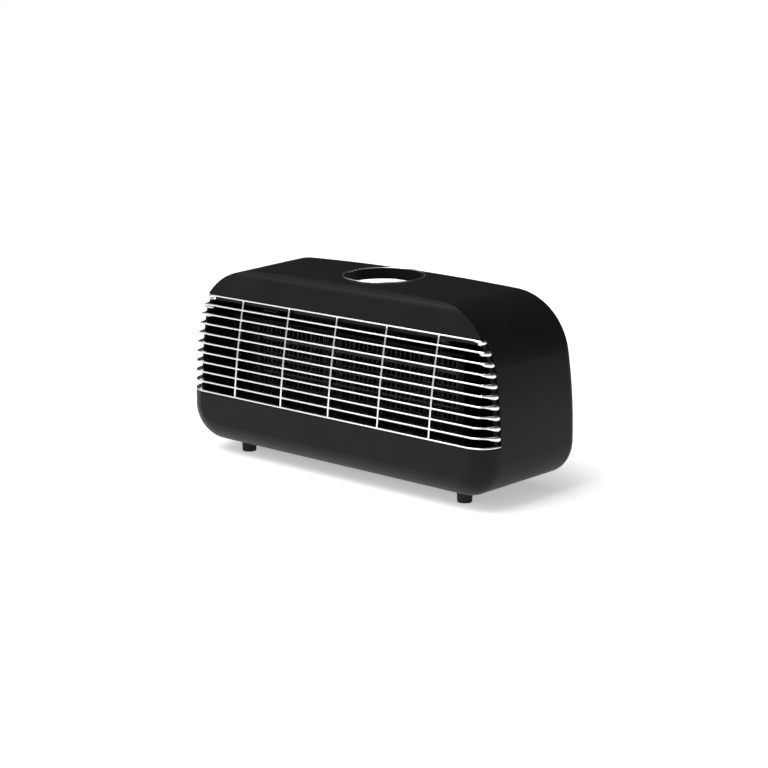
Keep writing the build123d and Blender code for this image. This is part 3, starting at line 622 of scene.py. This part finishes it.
def metal(name, colour, roughness, depth, tarnish, stretch=(1, 1, 1), marks=0.3, lines=900.0):
    """Metal with lines along one direction, tarnish patches and handling marks.

    A tarnish of 1 leaves the colour as it is, and a lower one darkens the patches.
    """
    material, tree, shader, place = start_material(name, roughness, 1.0)
    mapping = add(tree, "ShaderNodeMapping")
    tree.links.new(place, mapping.inputs["Vector"])
    mapping.inputs["Scale"].default_value = stretch
    brushed = placed(tree, LINES, mapping.outputs["Vector"], line_scale=lines)
    worn = placed(tree, MARKS, place, amount=marks, patch_scale=60.0)
    darker = tuple(c * tarnish for c in colour)
    toned = blended(tree, brushed.outputs["Tone"], colour, darker)
    dulled = tuple(c * tarnish * 0.9 for c in colour)
    tree.links.new(blended(tree, worn.outputs["Mask"], toned, dulled), shader.inputs["Base Color"])
    duller = spread(tree, brushed.outputs["Tone"], roughness, roughness + 0.1)
    tree.links.new(duller, shader.inputs["Roughness"])
    raised(tree, shader, brushed.outputs["Height"], depth)
    return material


def foam(name, colour):
    """Open-cell foam: painted shade darkens the cells' hollows between lighter walls."""
    material, tree, shader, place = start_material(name, 0.95, 0.0, 0.2)
    cells = add(tree, "ShaderNodeTexVoronoi", feature="DISTANCE_TO_EDGE")
    tree.links.new(place, cells.inputs["Vector"])
    cells.inputs["Scale"].default_value = 800.0
    # Painted shade: away from its walls, each cell's hollow darkens to 0.15 of the foam's colour.
    walls = ramped(tree, cells.outputs["Distance"], 0.02, 0.25)
    dark = tuple(c * 0.15 for c in colour)
    tree.links.new(blended(tree, walls, colour, dark), shader.inputs["Base Color"])
    raised(tree, shader, cells.outputs["Distance"], -0.5 * MM)
    return material


def translucent_amber(name):
    """Amber lamp lens: deep orange with darker streaks and a faint wave in its face."""
    material, tree, shader, place = start_material(name, 0.18)
    shader.inputs["Coat Weight"].default_value = 0.6
    streaks = placed(tree, LINES, place, line_scale=260.0)
    tint = blended(tree, streaks.outputs["Tone"], (0.75, 0.17, 0.02), (0.5, 0.08, 0.01))
    tree.links.new(tint, shader.inputs["Base Color"])
    raised(tree, shader, streaks.outputs["Height"], 0.02 * MM)
    return material


CASE_PLASTIC = plastic("satin black case", (0.0050, 0.0050, 0.0052), 0.36, grain=1700.0,
                       depth=0.012 * MM, dust=0.02, marks=0.35, specular=0.10)
CHROME = metal("bright chrome plate", (0.83, 0.84, 0.85), 0.07, depth=0.002 * MM, tarnish=0.93,
               marks=0.25, lines=260.0)
INNER_PLASTIC = plastic("matt black moulding", (0.003, 0.003, 0.003), 0.62, grain=1200.0,
                        depth=0.03 * MM, dust=0.1, marks=0.3, specular=0.15)
REAR_PLASTIC = plastic("satin black rear grille", (0.010, 0.010, 0.010), 0.48, grain=1500.0,
                       depth=0.02 * MM, dust=0.25, marks=0.4, specular=0.45)
DIAL_PLASTIC = plastic("semi-gloss black dial", (0.008, 0.008, 0.008), 0.25, grain=2600.0,
                       depth=0.005 * MM, dust=0.15, marks=0.6)
PHENOLIC = plastic("brown phenolic block", (0.075, 0.042, 0.022), 0.35, grain=600.0,
                   depth=0.02 * MM, dust=0.2, marks=0.3)
ACETAL = plastic("white acetal pin", (0.66, 0.65, 0.60), 0.32, grain=900.0,
                 depth=0.005 * MM, dust=0.1)
STEATITE = plastic("dark glazed steatite", (0.05, 0.045, 0.04), 0.6, grain=1100.0,
                   depth=0.03 * MM, dust=0.3, marks=0.5)
SLEEVE = plastic("silicone lead sleeve", (0.20, 0.19, 0.17), 0.55, grain=2200.0,
                 depth=0.02 * MM, dust=0.3, marks=0.3)
RUBBER = plastic("matt black rubber", (0.012, 0.012, 0.012), 0.8, grain=900.0,
                 depth=0.04 * MM, dust=0.2, marks=0.5, specular=0.3)
WHITE_MARK = plastic("white pad print", (0.62, 0.62, 0.60), 0.5, grain=1800.0,
                     depth=0.004 * MM, dust=0.05, marks=0.5)
# Duct sheet: a near-black colour; the tarnish patches are random.
DUCT_SHEET = metal("near-black duct sheet steel", (0.018, 0.018, 0.019), 0.5,
                   depth=0.01 * MM, tarnish=0.6, stretch=(1, 25, 25))
# Heater fins: their pale metal is given a near-black colour, painted shade of the case's dark
# inside; the tarnish patches are random.
FIN_METAL = metal("heater fins in painted shade", (0.055, 0.053, 0.05), 0.45,
                  depth=0.01 * MM, tarnish=0.55, stretch=(1, 1, 12))
GUARD_PAINT = plastic("black guard enamel", (0.006, 0.006, 0.006), 0.4, grain=1400.0,
                      depth=0.01 * MM, dust=0.2, marks=0.2, specular=0.4)
FAN_METAL = metal("mill finish aluminium", (0.42, 0.42, 0.43), 0.38,
                  depth=0.006 * MM, tarnish=0.75, stretch=(0.08, 1, 1))
STEEL = metal("bright turned steel", (0.50, 0.50, 0.51), 0.28,
              depth=0.006 * MM, tarnish=0.8, stretch=(1, 20, 20))
BRONZE = metal("sintered bronze", (0.42, 0.27, 0.13), 0.45,
               depth=0.02 * MM, tarnish=0.6, lines=1800.0)
COPPER = metal("enamelled copper winding", (0.55, 0.20, 0.07), 0.25,
               depth=0.05 * MM, tarnish=0.55, stretch=(1, 0.1, 1), lines=1500.0)
ZINC = metal("passivated zinc", (0.52, 0.53, 0.50), 0.35, depth=0.01 * MM, tarnish=0.7)
BRASS = metal("turned brass spindle", (0.58, 0.44, 0.20), 0.25,
              depth=0.01 * MM, tarnish=0.7, stretch=(1, 30, 1))
FOAM = foam("dark filter foam", (0.05, 0.05, 0.05))
AMBER = translucent_amber("amber lamp lens")

NODE_MATERIALS = (
    (CASE_PLASTIC, "front_shell rear_case"),
    (CHROME, "louvre_grille grip_ring"),
    (INNER_PLASTIC, "grip_liner heater_frame terminal_block cord_gland tilt_switch"),
    (DUCT_SHEET, "outlet_duct blower_end_left blower_end_right blower_scroll blower_tongue"),
    (FIN_METAL, "lower_element upper_element"),
    (GUARD_PAINT, "element_guard"),
    (FAN_METAL, "rotor_wheel motor_rotor"),
    (STEEL, "rotor_shaft motor_stator motor_bracket_outer motor_bracket_inner motor_spacers"
            " tilt_spring"),
    (BRONZE, "blower_bush motor_bush_outer motor_bush_inner"),
    (COPPER, "motor_coil"),
    (ZINC, "motor_screws foot_screws case_screws"),
    (REAR_PLASTIC, "rear_grille control_plate"),
    (FOAM, "intake_filter"),
    (PHENOLIC, "thermostat_body selector_body"),
    (DIAL_PLASTIC, "thermostat_dial selector_dial"),
    (BRASS, "thermostat_spindle selector_spindle"),
    (AMBER, "pilot_lamp"),
    (ACETAL, "tilt_plunger"),
    (STEATITE, "thermal_cutout thermal_fuse"),
    (SLEEVE, "motor_leads control_leads cutout_lead"),
    (RUBBER, "foot_front_left foot_front_right foot_rear_left foot_rear_right"),
)
for material, names in NODE_MATERIALS:
    for name in names.split():
        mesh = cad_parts[name].data
        mesh.materials.clear()
        mesh.materials.append(material)

# ---- new pieces -------------------------------------------------------------------------
grille = piece("grille_blades", *grille_skin(), "housing", "chrome_trim", CHROME)
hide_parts("louvre_grille")
ring = piece("grip_bead", *ring_skin(), "housing", "chrome_trim", CHROME)
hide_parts("grip_ring")

CONTROLS = (("thermostat", THERMOSTAT_Z, 10, 270), ("selector", SELECTOR_Z, 4, 135))
for control, height, strokes, swing in CONTROLS:
    scale = scale_strokes(DIAL_X, height, strokes, math.radians(swing))
    piece(control + "_scale", *scale, "housing", "plunger_white", WHITE_MARK, False)
    pointer = printed_stroke(DIAL_X, height, 0.0, POINTER_START, POINTER_END, POINTER_WIDTH,
                             DIAL_HIGH.y)
    piece(control + "_pointer", *pointer, control + "_knob", "plunger_white", WHITE_MARK, False)


# ---- stage --------------------------------------------------------------------------
AIM = (64.7 * MM, -60.0 * MM, 99.2 * MM)
EYE = (1072.6 * MM, -1271.2 * MM, 484.6 * MM)
LENS = 90.1
DIMMEST_SKY = 0.06
BRIGHTEST_SKY = 0.9
RIGHT_PANEL = 0.8
FLOOR_RADIUS = 2.4
FLOOR_POINTS = 96
FLOOR_GLOW = 0.42


def make_camera():
    """Long lens, a little above the heater, turned forty degrees to its right."""
    data = bpy.data.cameras.new("camera")
    data.lens = LENS
    data.sensor_width = 36.0
    data.clip_start = 0.05
    camera = bpy.data.objects.new("camera", data)
    bpy.context.scene.collection.objects.link(camera)
    camera.location = EYE
    direction = Vector(AIM) - Vector(EYE)
    camera.rotation_euler = direction.to_track_quat("-Z", "Y").to_euler()
    bpy.context.scene.camera = camera


def make_light(name, place, aim, size, power):
    """Rectangular soft light turned towards a point."""
    data = bpy.data.lights.new(name, "AREA")
    data.shape = "RECTANGLE"
    data.size, data.size_y = size
    data.energy = power
    light = bpy.data.objects.new(name, data)
    bpy.context.scene.collection.objects.link(light)
    light.location = place
    light.rotation_euler = (Vector(aim) - Vector(place)).to_track_quat("-Z", "Y").to_euler()


def make_world():
    """White to the eye; as light it is dim, but bright high up at the front and at the right."""
    world = bpy.data.worlds.new("studio")
    bpy.context.scene.world = world
    world.use_nodes = True
    tree = world.node_tree
    background = tree.nodes["Background"]
    direction = add(tree, "ShaderNodeTexCoord").outputs["Generated"]
    split = add(tree, "ShaderNodeSeparateXYZ")
    tree.links.new(direction, split.inputs[0])
    front_left = weighted_sum(tree, split.outputs["X"], -0.3, split.outputs["Y"], -0.8)
    high = math_node(tree, "MULTIPLY", split.outputs["Z"], 0.7)
    high_front = math_node(tree, "ADD", front_left, high)
    sky = spread(tree, ramped(tree, high_front, 0.1, 1.1), DIMMEST_SKY, BRIGHTEST_SKY)
    panel = math_node(tree, "MULTIPLY", ramped(tree, split.outputs["X"], 0.72, 0.9), RIGHT_PANEL)
    strength = math_node(tree, "MAXIMUM", sky, panel)
    seen = add(tree, "ShaderNodeLightPath").outputs["Is Camera Ray"]
    tree.links.new(math_node(tree, "MAXIMUM", strength, seen), background.inputs["Strength"])
    background.inputs["Color"].default_value = (1.0, 1.0, 1.0, 1.0)


def make_floor():
    """Plain pale floor with the faintest tone changes and a weak glow that keeps it white."""
    material, tree, shader, place = start_material("pale floor", 0.9, 0.0, 0.1)
    tone = noise(tree, place, 3.0, 2.0)
    pale = blended(tree, tone, (0.93, 0.93, 0.93), (0.96, 0.96, 0.96))
    tree.links.new(pale, shader.inputs["Base Color"])
    shader.inputs["Emission Color"].default_value = (1.0, 1.0, 1.0, 1.0)
    shader.inputs["Emission Strength"].default_value = FLOOR_GLOW
    angle = np.linspace(0, 2 * np.pi, FLOOR_POINTS, endpoint=False)
    rim = np.stack([FLOOR_RADIUS * np.cos(angle), FLOOR_RADIUS * np.sin(angle),
                    np.zeros(FLOOR_POINTS)], 1)
    floor = piece("floor", rim, [list(range(FLOOR_POINTS))], None, None, material, False)


make_camera()
make_world()
make_light("overhead softbox", place=(-0.5, -1.1, 2.3), aim=(0, 0, 0), size=(2.4, 2.0), power=62)
make_light("front fill", place=(-0.9, -2.4, 1.3), aim=(0, 0, 0.08), size=(1.0, 0.5), power=5)
make_floor()
bpy.context.scene.view_settings.view_transform = "Standard"
